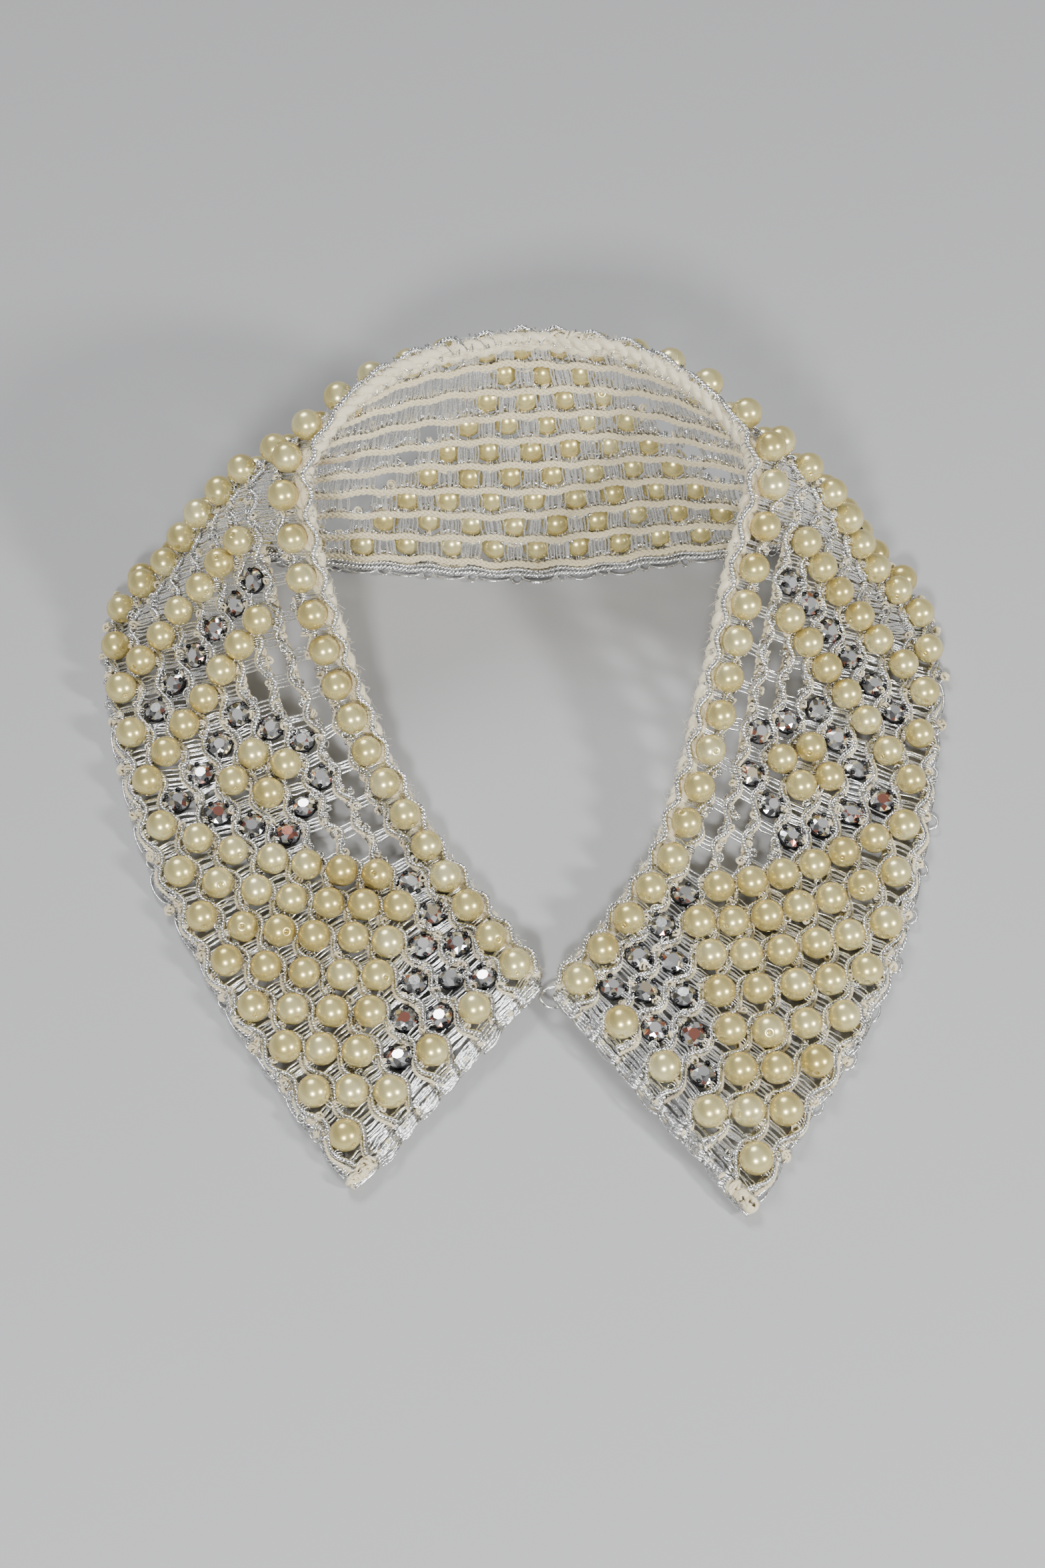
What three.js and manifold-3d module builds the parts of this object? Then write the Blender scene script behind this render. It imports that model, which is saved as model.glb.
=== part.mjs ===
// A detachable lace collar with two pointed wings, set with imitation pearls
// and cut-glass rhinestones. The collar stands on its outer edge: the back
// band leans away, the shoulders dome and the wings lie flat, face up.
// Units are millimetres, +Z is up, the wings point along -Y, and the origin
// is the centre of the collar's footprint on the surface it stands on.
import * as THREE from 'three';
import { mergeVertices } from 'three/addons/utils/BufferGeometryUtils.js';
import Module from 'manifold-3d';

const wasm = await Module();
wasm.setup();

// ---------------------------------------------------------------- dimensions

const PEARL_RADIUS = 3;
const THREAD_RADIUS = 0.45;

const STONE_TOP_RADIUS = 1.8;
const STONE_BASE_RADIUS = 2.4;
const STONE_TOP = -1.1;
const STONE_BASE = -2.75;
const STONE_LINK_HEIGHT = -2.2;
const STONE_LINK_RADIUS = 0.4;
const STONE_SIDES = 6;

const LACE_HEIGHT = -3.6;
const LACE_HALF_THICKNESS = 0.35;
const LACE_ROWS = [-0.1, 2, 4, 5.5, 7, 8.15];

const YARN_RADIUS = 1.3;
const YARN_ROW = -0.6;
const YARN_HEIGHT = -3.6;
const RIM_RADIUS = 0.45;
const RIM_ROW = -0.66;
const RIM_HEIGHT = -1.5;

const EDGE_CORD_WIDTH = 1.6;
const EDGE_ROW = 8.76;

const END_CORD_RADIUS = 0.8;
const END_CORD_HEIGHT = -3.0;
const END_COLUMN = -1.15;
const KNOT_RADIUS = 1.9;
const LOOP_RADIUS = 1.6;
const LOOP_WIRE_RADIUS = 0.35;
const LOOP_COLUMN = 89.35;
const LOOP_ROW = -0.55;
const LOOP_HEIGHT = 3;

// The band is a net of cells. Columns count half a bead pitch along the band,
// rows count from the neckline (0) to the outer edge (8), and a bead sits
// wherever column + row is even.
const LAST_COLUMN = 88;
const LAST_ROW = 8;
const LEFT_SPLIT = 29.5;
const RIGHT_SPLIT = LAST_COLUMN - LEFT_SPLIT;
const SPLIT_HALF_GAP = 0.08;
const LACE_OVERHANG = 0.6;
const BACK_MOTIF_COLUMN = 45;
const COLUMN_STEP = 1.75;

// Three guide curves carry the bead centres: the neckline row, the middle row
// and the outer row, each through one point per guide column.
const GUIDE_COLUMNS = [0, 8, 16, 24, 30, 36, 44, 52, 58, 64, 72, 80, 88];
const NECKLINE_GUIDE = [
  [-1.5, -48, 6.5], [-19, -19.5, 5.5], [-34, 7, 12], [-43.5, 28, 30], [-46.5, 47.5, 44],
  [-30, 66, 48.5], [0, 76, 47.5], [30, 68.5, 49.5], [49, 49.5, 45],
  [45.5, 29, 32], [38.5, 5, 16], [28.5, -24, 8], [10.5, -51, 7],
];
const MIDDLE_GUIDE = [
  [-16.5, -65.5, 5], [-37, -32.5, 5], [-53.5, 2.5, 6.5], [-65, 35, 20], [-62.5, 55.5, 27.5],
  [-33, 66.5, 26], [1.5, 69, 25.5], [35, 69, 27], [64, 55.5, 27],
  [64, 34.5, 19], [57, 3.5, 7.5], [46.5, -35.5, 5], [26, -69.5, 6],
];
const OUTER_GUIDE = [
  [-31.5, -83, 4.5], [-55.5, -45.5, 4.5], [-74.5, -2.5, 4.5], [-84, 43, 4.5], [-65, 62.5, 4.5],
  [-34, 62.5, 4.5], [3, 60.5, 4.5], [38, 65.5, 4.5], [67.5, 64, 4.5],
  [83, 42, 4.5], [77, -2.5, 4.5], [64.5, -47.5, 4.5], [41.5, -87.5, 4.5],
];

// Moves the guides' own frame so that the origin is the footprint's centre.
const FOOTPRINT_CENTRE = [-0.1, -9.05, 0];

const COLOURS = {
  pearl: { color: 0xe6dabc, roughness: 0.28, metalness: 0.05 },
  rhinestone: { color: 0x50535a, roughness: 0.08, metalness: 0.6 },
  lace: { color: 0xcfccc4, roughness: 0.45, metalness: 0.4 },
  yarn: { color: 0xeee6d2, roughness: 0.95, metalness: 0 },
  silver: { color: 0xc9cbd0, roughness: 0.3, metalness: 0.8 },
};

// ------------------------------------------------------------ curved surface

function guidePoint(points, column) {
  const last = GUIDE_COLUMNS.length - 1;
  let i = 0;
  while (i < last - 1 && column >= GUIDE_COLUMNS[i + 1]) i += 1;
  const slope = (k) => {
    const before = Math.max(k - 1, 0);
    const after = Math.min(k + 1, last);
    const run = GUIDE_COLUMNS[after] - GUIDE_COLUMNS[before];
    return points[k].map((_, axis) => (points[after][axis] - points[before][axis]) / run);
  };
  const run = GUIDE_COLUMNS[i + 1] - GUIDE_COLUMNS[i];
  const t = (column - GUIDE_COLUMNS[i]) / run;
  const startWeight = 2 * t ** 3 - 3 * t ** 2 + 1;
  const startSlope = (t ** 3 - 2 * t ** 2 + t) * run;
  const endSlope = (t ** 3 - t ** 2) * run;
  const a = slope(i);
  const b = slope(i + 1);
  return points[i].map((start, axis) => (
    start * startWeight + points[i + 1][axis] * (1 - startWeight)
    + a[axis] * startSlope + b[axis] * endSlope
  ));
}

// The bead-centre surface: a parabola across the three guides.
function surfacePoint(column, row) {
  const t = row / LAST_ROW;
  const weights = [2 * (t - 0.5) * (t - 1), -4 * t * (t - 1), 2 * t * (t - 0.5)];
  const guides = [NECKLINE_GUIDE, MIDDLE_GUIDE, OUTER_GUIDE].map((g) => guidePoint(g, column));
  const at = (axis) => guides.reduce((sum, g, k) => sum + g[axis] * weights[k], 0);
  return new THREE.Vector3(at(0), at(1), at(2));
}

function surfaceNormal(column, row) {
  const step = 0.05;
  const along = surfacePoint(column + step, row).sub(surfacePoint(column - step, row));
  const across = surfacePoint(column, row + step).sub(surfacePoint(column, row - step));
  return along.cross(across).normalize();
}

// A point at a height along the face's outward normal.
function raised(column, row, height) {
  return surfacePoint(column, row).addScaledVector(surfaceNormal(column, row), height);
}

// ----------------------------------------------------------------- the chart

// What the cell at a column and row holds: 'pearl', 'stone' or nothing.
// Both wings carry the same pattern, mirrored; the back has one motif.
function cellBead(column, row) {
  if ((column + row) % 2 !== 0) return null;
  const wing = Math.min(column, LAST_COLUMN - column);
  if (row === 0 || row === LAST_ROW || wing === 0) return 'pearl';
  const backslash = wing + row;
  const slash = wing - row;
  if (slash <= 6) return tipStone(wing, row) ? 'stone' : 'pearl';
  if (backslash === 16 || backslash === 18 || backslash === 20 || backslash === 22) {
    return diamondBead(wing, row);
  }
  if ([24, 28].includes(backslash) && row >= 2) return 'pearl';
  if (backslash === 26 && row >= 2) return 'stone';
  if ([32, 36].includes(backslash)) return 'pearl';
  if (backslash === 34) return 'stone';
  const reach = row + 1;
  return Math.abs(column - BACK_MOTIF_COLUMN) <= reach ? 'pearl' : null;
}

// The ten stones at a wing's inner corner.
function tipStone(wing, row) {
  if (row === 1) return true;
  return wing + row <= 6 && row <= 5;
}

// Four pearls in a ring of eleven stones.
function diamondBead(wing, row) {
  const slash = wing - row;
  const backslash = wing + row;
  if (backslash === 22) return slash >= 8 && slash <= 14 ? 'stone' : null;
  if (backslash === 16) return slash >= 8 && slash <= 12 ? 'stone' : null;
  if (slash === 8 || slash === 14) return 'stone';
  return slash === 10 || slash === 12 ? 'pearl' : null;
}

// ----------------------------------------------------------- making a solid

function toManifold(geometry) {
  const bare = geometry.clone();
  bare.deleteAttribute('normal');
  bare.deleteAttribute('uv');
  const welded = mergeVertices(bare, 1e-4);
  return new wasm.Manifold(new wasm.Mesh({
    numProp: 3,
    vertProperties: new Float32Array(welded.attributes.position.array),
    triVerts: new Uint32Array(welded.index.array),
  }));
}

function fromManifold(solid) {
  const mesh = solid.getMesh();
  const geometry = new THREE.BufferGeometry();
  geometry.setAttribute('position', new THREE.BufferAttribute(mesh.vertProperties, 3));
  geometry.setIndex(new THREE.BufferAttribute(mesh.triVerts, 1));
  geometry.computeVertexNormals();
  return geometry;
}

function joined(geometries) {
  let solid = toManifold(geometries[0]);
  for (const geometry of geometries.slice(1)) solid = solid.add(toManifold(geometry));
  return fromManifold(solid);
}

// A round or flat-sided rod of a regular section along a smooth curve.
function rod(points, radius, sides, steps) {
  const section = new THREE.Shape();
  for (let side = 0; side < sides; side += 1) {
    const angle = ((side + 0.5) / sides) * 2 * Math.PI;
    const x = radius * Math.cos(angle);
    const y = radius * Math.sin(angle);
    if (side === 0) section.moveTo(x, y);
    else section.lineTo(x, y);
  }
  section.closePath();
  const path = new THREE.CatmullRomCurve3(points, false, 'centripetal');
  return new THREE.ExtrudeGeometry(section, { steps, bevelEnabled: false, extrudePath: path });
}

function columnsBetween(first, last, step) {
  const count = Math.max(1, Math.round((last - first) / step));
  return Array.from({ length: count + 1 }, (_, i) => first + ((last - first) * i) / count);
}

// A cord that runs the length of one section at a constant row and height.
function lengthwiseCord(first, last, row, height, radius, sides) {
  const columns = columnsBetween(first, last, COLUMN_STEP);
  const points = columns.map((column) => raised(column, row, height));
  return rod(points, radius, sides, columns.length - 1);
}

// The outer edge cord is a flat-sided braid that lies on the surface below it.
function edgeCord(first, last) {
  const columns = columnsBetween(first, last, COLUMN_STEP);
  const points = columns.map((column) => {
    const point = raised(column, EDGE_ROW, LACE_HEIGHT);
    return new THREE.Vector3(point.x, point.y, EDGE_CORD_WIDTH / 2);
  });
  const cornerRadius = EDGE_CORD_WIDTH / Math.SQRT2;
  return rod(points, cornerRadius, 4, columns.length - 1);
}

// The knitted lace: a thin sheet under the beads.
function laceSheet(first, last) {
  const columns = columnsBetween(first, last, COLUMN_STEP);
  const positions = [];
  for (const side of [1, -1]) {
    const height = LACE_HEIGHT + side * LACE_HALF_THICKNESS;
    for (const column of columns) {
      for (const row of LACE_ROWS) positions.push(...raised(column, row, height).toArray());
    }
  }
  const index = [];
  const wide = LACE_ROWS.length;
  const layer = columns.length * wide;
  const quad = (a, b, c, d) => index.push(a, b, c, a, c, d);
  for (let i = 0; i < columns.length - 1; i += 1) {
    for (let k = 0; k < wide - 1; k += 1) {
      const a = i * wide + k;
      quad(a, a + wide, a + wide + 1, a + 1);
      quad(layer + a, layer + a + 1, layer + a + wide + 1, layer + a + wide);
    }
    const near = i * wide;
    const far = near + wide - 1;
    quad(near, layer + near, layer + near + wide, near + wide);
    quad(far, far + wide, layer + far + wide, layer + far);
  }
  for (let k = 0; k < wide - 1; k += 1) {
    const end = (columns.length - 1) * wide + k;
    quad(k, k + 1, layer + k + 1, layer + k);
    quad(end, layer + end, layer + end + 1, end + 1);
  }
  const geometry = new THREE.BufferGeometry();
  geometry.setAttribute('position', new THREE.Float32BufferAttribute(positions, 3));
  geometry.setIndex(index);
  geometry.computeVertexNormals();
  return geometry;
}

// One pearl, turned so that its thread runs out through the middle of a face.
function pearl(column, row) {
  const along = surfacePoint(column + 1, row).sub(surfacePoint(column - 1, row)).normalize();
  const faceNormal = new THREE.Vector3(1, 1, 1).normalize();
  const solid = new THREE.IcosahedronGeometry(PEARL_RADIUS, 0);
  solid.applyQuaternion(new THREE.Quaternion().setFromUnitVectors(faceNormal, along));
  solid.translate(...surfacePoint(column, row).toArray());
  return solid;
}

// The pearls of one row, strung on one thread.
function pearlStrand(row, first, last) {
  const cells = [];
  for (let column = first; column <= last; column += 1) {
    if (cellBead(column, row) === 'pearl') cells.push(column);
  }
  if (cells.length === 0) return null;
  const solids = cells.map((column) => pearl(column, row));
  for (let i = 0; i + 1 < cells.length; i += 1) {
    const thread = columnsBetween(cells[i], cells[i + 1], 2);
    const points = thread.map((column) => surfacePoint(column, row));
    solids.push(rod(points, THREAD_RADIUS, 3, points.length - 1));
  }
  return joined(solids);
}

// One stone in its setting, standing on the lace.
function stone([column, row]) {
  const depth = STONE_TOP - STONE_BASE;
  const solid = new THREE.CylinderGeometry(STONE_TOP_RADIUS, STONE_BASE_RADIUS, depth, STONE_SIDES);
  const up = surfaceNormal(column, row);
  solid.applyQuaternion(new THREE.Quaternion().setFromUnitVectors(new THREE.Vector3(0, 1, 0), up));
  solid.translate(...raised(column, row, (STONE_TOP + STONE_BASE) / 2).toArray());
  return solid;
}

// Stones sewn one after another, joined by their sewing thread.
function stoneGroup(runs) {
  const cells = new Map();
  const solids = [];
  for (const run of runs) {
    for (const cell of run) cells.set(cell.join(), cell);
    for (let i = 0; i + 1 < run.length; i += 1) {
      const ends = [run[i], run[i + 1]].map(([c, r]) => raised(c, r, STONE_LINK_HEIGHT));
      solids.push(rod(ends, STONE_LINK_RADIUS, 3, 1));
    }
  }
  for (const cell of cells.values()) solids.push(stone(cell));
  return joined(solids);
}

// A run of cells that steps one row outward and one column back each time.
function diagonal(column, row, count) {
  return Array.from({ length: count }, (_, i) => [column - i, row + i]);
}

const SHOULDER_STONES_ON_BACK = [diagonal(33, 1, 4)];
const SHOULDER_STONES_ON_WING = [diagonal(29, 5, 3)];
const DIAGONAL_STONES = [diagonal(24, 2, 6)];
const DIAMOND_STONES = [[
  [16, 2], [17, 3], [18, 4], [17, 5], [16, 6], [15, 7], [14, 6], [13, 5], [12, 4], [13, 3], [14, 2],
]];
const TIP_STONES = [
  [[7, 1], [5, 1], [4, 2], [3, 1], [2, 2], [1, 1]],
  [[4, 2], [3, 3], [2, 4], [1, 5]],
  [[2, 2], [1, 3]],
];

function mirrored(runs) {
  return runs.map((run) => run.map(([column, row]) => [LAST_COLUMN - column, row]));
}

// ------------------------------------------------------------------ assembly

const collar = new THREE.Group();
collar.position.set(-FOOTPRINT_CENTRE[0], -FOOTPRINT_CENTRE[1], -FOOTPRINT_CENTRE[2]);

function addPiece(name, geometry, look) {
  if (!geometry) return;
  const mesh = new THREE.Mesh(geometry, new THREE.MeshStandardMaterial(COLOURS[look]));
  mesh.name = name;
  collar.add(mesh);
}

const SECTIONS = [
  { name: 'left_wing', first: -LACE_OVERHANG, last: LEFT_SPLIT - SPLIT_HALF_GAP },
  { name: 'back', first: LEFT_SPLIT + SPLIT_HALF_GAP, last: RIGHT_SPLIT - SPLIT_HALF_GAP },
  { name: 'right_wing', first: RIGHT_SPLIT + SPLIT_HALF_GAP, last: LAST_COLUMN + LACE_OVERHANG },
];

for (const { name, first, last } of SECTIONS) {
  const firstCell = Math.max(0, Math.ceil(first));
  const lastCell = Math.min(LAST_COLUMN, Math.floor(last));
  addPiece(`lace_${name}`, laceSheet(first, last), 'lace');
  addPiece(`neckline_yarn_${name}`, lengthwiseCord(first, last, YARN_ROW, YARN_HEIGHT, YARN_RADIUS, 6), 'yarn');
  addPiece(`silver_rim_${name}`, lengthwiseCord(first, last, RIM_ROW, RIM_HEIGHT, RIM_RADIUS, 4), 'silver');
  addPiece(`outer_edge_cord_${name}`, edgeCord(first, last), 'silver');
  for (let row = 0; row <= LAST_ROW; row += 1) {
    addPiece(`pearl_row_${row}_${name}`, pearlStrand(row, firstCell, lastCell), 'pearl');
  }
}

const SIDES = [
  { name: 'left', place: (runs) => runs, end: END_COLUMN },
  { name: 'right', place: mirrored, end: LAST_COLUMN - END_COLUMN },
];

for (const { name, place, end } of SIDES) {
  addPiece(`stones_tip_${name}`, stoneGroup(place(TIP_STONES)), 'rhinestone');
  addPiece(`stones_diamond_${name}`, stoneGroup(place(DIAMOND_STONES)), 'rhinestone');
  addPiece(`stones_diagonal_${name}`, stoneGroup(place(DIAGONAL_STONES)), 'rhinestone');
  addPiece(`stones_shoulder_${name}`, stoneGroup(place(SHOULDER_STONES_ON_WING)), 'rhinestone');
  addPiece(`stones_back_${name}`, stoneGroup(place(SHOULDER_STONES_ON_BACK)), 'rhinestone');

  const rows = columnsBetween(0, LAST_ROW - 0.5, 0.75);
  const cordPoints = rows.map((row) => raised(end, row, END_CORD_HEIGHT));
  addPiece(`end_cord_${name}`, rod(cordPoints, END_CORD_RADIUS, 6, rows.length - 1), 'silver');

  const knot = new THREE.IcosahedronGeometry(KNOT_RADIUS, 1);
  const knotAt = surfacePoint(end, LAST_ROW + 0.4);
  knot.translate(knotAt.x, knotAt.y, KNOT_RADIUS);
  addPiece(`tip_knot_${name}`, knot, 'yarn');
}

// The small wire loop at the right wing's inner corner.
const loopProfile = new THREE.Path().absarc(LOOP_RADIUS, 0, LOOP_WIRE_RADIUS, 0, 2 * Math.PI);
const cornerLoop = new THREE.LatheGeometry(loopProfile.getPoints(3), 12);
const loopAt = surfacePoint(LOOP_COLUMN, LOOP_ROW);
cornerLoop.rotateX(Math.PI / 2);
cornerLoop.translate(loopAt.x, loopAt.y, LOOP_HEIGHT);
addPiece('corner_loop', cornerLoop, 'silver');

export default collar;
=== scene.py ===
import math

import bpy
import numpy as np
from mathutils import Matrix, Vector


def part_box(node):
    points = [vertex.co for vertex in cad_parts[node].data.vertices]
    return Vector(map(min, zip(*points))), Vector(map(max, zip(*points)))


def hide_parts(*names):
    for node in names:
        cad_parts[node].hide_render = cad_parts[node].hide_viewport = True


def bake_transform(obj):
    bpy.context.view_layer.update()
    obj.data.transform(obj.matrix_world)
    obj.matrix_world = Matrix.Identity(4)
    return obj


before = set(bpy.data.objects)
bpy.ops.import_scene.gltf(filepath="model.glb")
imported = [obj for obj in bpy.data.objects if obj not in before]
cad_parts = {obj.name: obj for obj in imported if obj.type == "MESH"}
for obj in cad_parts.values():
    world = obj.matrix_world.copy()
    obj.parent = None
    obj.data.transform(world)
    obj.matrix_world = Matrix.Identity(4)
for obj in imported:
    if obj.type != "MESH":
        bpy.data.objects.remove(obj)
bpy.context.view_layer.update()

dice = np.random.default_rng(7)

# ---------------------------------------------------------------- dimensions
# Lengths are in metres. The collar is a net of cells: columns count half a
# bead pitch along the band, rows count from the neckline (0) to the outer
# edge (8), and a bead sits wherever column + row is even.

MM = 0.001
UPWARD = np.array([0.0, 0.0, 1.0])

LAST_COLUMN = 88
LAST_ROW = 8
MIDDLE_COLUMN = 44
LACE_OVERHANG = 0.9
BACK_MOTIF_COLUMN = 45

PEARL_RADIUS = 3.05 * MM
BORE_RADIUS = 0.36 * MM
PIT_DEPTH = 0.7 * MM
PIT_LIP = 0.04 * MM
STONE_HEIGHT = -1.75 * MM

WEFT_RADIUS = 0.235 * MM
WEFT_HEIGHT = -2.75 * MM
CHAIN_HEIGHT = -3.05 * MM
THIN_THREAD_LIFT = 0.85 * MM
WRAP_LIFT = 1.15 * MM
GIMP_HEIGHT = -1.75 * MM
KNOT_HEIGHT = -1.75 * MM
CREAM_KNOT_HEIGHT = -1.7 * MM
WRAP_WIDTH = 0.72 * MM
WRAP_THREAD_RADIUS = 0.17 * MM
WRAP_TURNS = 2.5

YARN_ROW = -0.42
YARN_HEIGHT = -3.3 * MM
YARN_SURFACE_RADIUS = 1.5 * MM
HAIR_RADIUS = 0.035 * MM
LACING_RADIUS = 0.19 * MM
PINCH_COLUMN = 47.3
PINCH_DEPTH = 1.1 * MM
PINCH_KNOT_HEIGHT = -2.9 * MM
RIM_ROW = -0.64
RIM_HEIGHT = -1.5 * MM

EDGE_ROW = 8.72
EDGE_HEIGHT = -3.6 * MM
EDGE_LIFT = 0.85 * MM
EDGE_GIMP_LIFT = 1.1 * MM
PICOT_RADIUS = 0.2 * MM
PICOT_SPLAY = 2.3 * MM
FLOOR_CLEARANCE = 0.8 * MM

END_COLUMN = -1.15
END_CORD_HEIGHT = -3.0 * MM
END_KNOT_HEIGHT = -3.1 * MM
TIP_KNOT_LIFT = 1.9 * MM
LOOP_RADIUS = 2.2 * MM
LOOP_WIRE_RADIUS = 0.34 * MM

# How the cords are made: the strands, each strand's radius, how far strands swing
# from the cord's middle, the length of a full turn, and the sides of a strand's tube.
PLAIT = dict(strand_radius=0.31 * MM, width=0.50 * MM, pitch=3.9 * MM, sides=5)
THIN_THREAD = dict(strands=2, strand_radius=0.24 * MM, twist_radius=0.20 * MM, pitch=1.6 * MM, sides=4)
GIMP = dict(strands=2, strand_radius=0.40 * MM, twist_radius=0.17 * MM, pitch=1.3 * MM, sides=6)
EDGE_CORD = dict(strands=3, strand_radius=0.34 * MM, twist_radius=0.36 * MM, pitch=2.6 * MM)
EDGE_GIMP = dict(strands=2, strand_radius=0.27 * MM, twist_radius=0.24 * MM, pitch=1.5 * MM)
YARN_PLAIT = dict(strand_radius=0.95 * MM, width=1.05 * MM, pitch=9.0 * MM, sides=10)
RIM_CORD = dict(strands=2, strand_radius=0.34 * MM, twist_radius=0.31 * MM, pitch=1.6 * MM)
END_CORD = dict(strands=3, strand_radius=0.36 * MM, twist_radius=0.38 * MM, pitch=2.2 * MM)

# The bundles of thread that cross a cell, with their widths in columns.
CHAIN_BUNDLE = dict(threads=10, width=1.02)
OPEN_BUNDLE = dict(threads=8, width=0.80)
LADDER_BUNDLE = dict(threads=4, width=0.55)
END_BUNDLE = dict(threads=9, width=1.05, reach=0.5)
LOW_END_BUNDLE = dict(threads=5, width=0.8, reach=0.45)

# Knots of loose thread: how large, how many loops, how thick and how finely cut.
SILVER_KNOT = dict(size=1.05 * MM, loops=3, thickness=0.21 * MM, points=12, sides=4)
CREAM_KNOT = dict(size=0.85 * MM, loops=2, thickness=0.23 * MM, points=12, sides=4)
EDGE_KNOT = dict(size=1.0 * MM, loops=4, thickness=0.24 * MM, points=14, sides=5)
PINCH_KNOT = dict(size=1.7 * MM, loops=2, thickness=0.30 * MM, points=16, sides=6)
TIP_KNOT = dict(size=1.5 * MM, loops=6, thickness=0.33 * MM)
END_KNOT = dict(size=0.85 * MM, loops=3, thickness=0.28 * MM)

# How unevenly the beads are sewn: places in cells, heights and slants.
PEARL_SCATTER = 0.035
PEARL_LIFT_SPREAD = 0.22 * MM
PEARL_TILT = 0.42
PEARL_SIZE_SPREAD = 0.018
STONE_SCATTER = 0.05
STONE_LIFT_SPREAD = 0.18 * MM
STONE_TILT = 0.13

# The guides carry the bead centres of the neckline, middle and outer rows, in
# millimetres, as part.mjs has them; its footprint centre becomes the origin.
# Their points are a least-squares fit's, rounded to half a millimetre, with
# some moved a little.
GUIDE_COLUMNS = np.array([0, 8, 16, 24, 30, 36, 44, 52, 58, 64, 72, 80, 88])
FOOTPRINT_CENTRE = np.array([-0.1, -9.05, 0])
NECKLINE_GUIDE = np.array([
    [-1.5, -48, 6.5], [-19, -19.5, 5.5], [-34, 7, 12], [-43.5, 28, 30], [-46.5, 47.5, 44],
    [-30, 66, 48.5], [0, 76, 47.5], [30, 68.5, 49.5], [49, 49.5, 45],
    [45.5, 29, 32], [38.5, 5, 16], [28.5, -24, 8], [10.5, -51, 7],
])
MIDDLE_GUIDE = np.array([
    [-16.5, -65.5, 5], [-37, -32.5, 5], [-53.5, 2.5, 6.5], [-65, 35, 20], [-62.5, 55.5, 27.5],
    [-33, 66.5, 26], [1.5, 69, 25.5], [35, 69, 27], [64, 55.5, 27],
    [64, 34.5, 19], [57, 3.5, 7.5], [46.5, -35.5, 5], [26, -69.5, 6],
])
OUTER_GUIDE = np.array([
    [-31.5, -83, 4.5], [-55.5, -45.5, 4.5], [-74.5, -2.5, 4.5], [-84, 43, 4.5], [-65, 62.5, 4.5],
    [-34, 62.5, 4.5], [3, 60.5, 4.5], [38, 65.5, 4.5], [67.5, 64, 4.5],
    [83, 42, 4.5], [77, -2.5, 4.5], [64.5, -47.5, 4.5], [41.5, -87.5, 4.5],
])
GUIDES = [(g - FOOTPRINT_CENTRE) * MM for g in (NECKLINE_GUIDE, MIDDLE_GUIDE, OUTER_GUIDE)]

# The two halves of the collar, left and right.
SIDES = ("left", "right")

# ------------------------------------------------------------ curved surface


def guide_slopes(points):
    """The slope at each point of a guide, from its two neighbours."""
    before = np.maximum(np.arange(len(points)) - 1, 0)
    after = np.minimum(np.arange(len(points)) + 1, len(points) - 1)
    run = (GUIDE_COLUMNS[after] - GUIDE_COLUMNS[before])[:, None]
    return (points[after] - points[before]) / run


SLOPES = [guide_slopes(g) for g in GUIDES]


def guide_point(index, column):
    """A cubic Hermite curve through one guide's points."""
    points = GUIDES[index]
    slopes = SLOPES[index]
    i = np.clip(np.searchsorted(GUIDE_COLUMNS, column, side="right") - 1, 0, len(points) - 2)
    run = (GUIDE_COLUMNS[i + 1] - GUIDE_COLUMNS[i])[..., None]
    t = (column[..., None] - GUIDE_COLUMNS[i][..., None]) / run
    weight = 2 * t**3 - 3 * t**2 + 1
    start_slope = (t**3 - 2 * t**2 + t) * run
    end_slope = (t**3 - t**2) * run
    near = points[i] * weight + slopes[i] * start_slope
    return near + points[i + 1] * (1 - weight) + slopes[i + 1] * end_slope


def surface_point(column, row):
    """A point of the curved face: a parabola across the three guides."""
    column, row = np.broadcast_arrays(np.asarray(column, float), np.asarray(row, float))
    t = (row / LAST_ROW)[..., None]
    neck = guide_point(0, column) * 2 * (t - 0.5) * (t - 1)
    middle = guide_point(1, column) * -4 * t * (t - 1)
    return neck + middle + guide_point(2, column) * 2 * t * (t - 0.5)


def unit(v):
    return v / np.linalg.norm(v, axis=-1, keepdims=True)


def surface_normal(column, row):
    """The direction that the beads face."""
    step = 0.05
    column = np.asarray(column, float)
    row = np.asarray(row, float)
    along = surface_point(column + step, row) - surface_point(column - step, row)
    across = surface_point(column, row + step) - surface_point(column, row - step)
    return unit(np.cross(along, across))


def raised(column, row, height):
    """Points at a height along the face's outward normal, never below the floor."""
    height = np.asarray(height, float)[..., None]
    point = surface_point(column, row) + surface_normal(column, row) * height
    low = point[..., 2]
    point[..., 2] = np.where(low < FLOOR_CLEARANCE, FLOOR_CLEARANCE, low)
    return point


def wobble(column, seed, size=1.0):
    """A smooth hand-made irregularity along the band."""
    slow = np.sin(column * 0.41 + seed * 1.7)
    fast = np.sin(column * 1.13 + seed * 2.9)
    return size * (0.6 * slow + 0.4 * fast)


# ----------------------------------------------------------------- the chart


def from_wing_end(column):
    """How many columns lie between a column and the nearer wing's end."""
    return min(column, LAST_COLUMN - column)


def tip_stone(wing, row):
    """The stones at a wing's inner corner."""
    return row == 1 or (wing + row <= 6 and row <= 5)


def diamond_bead(wing, row):
    """Four pearls in a ring of eleven stones."""
    slash = wing - row
    backslash = wing + row
    if backslash == 22:
        return "stone" if 8 <= slash <= 14 else None
    if backslash == 16:
        return "stone" if 8 <= slash <= 12 else None
    if slash in (8, 14):
        return "stone"
    return "pearl" if slash in (10, 12) else None


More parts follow.
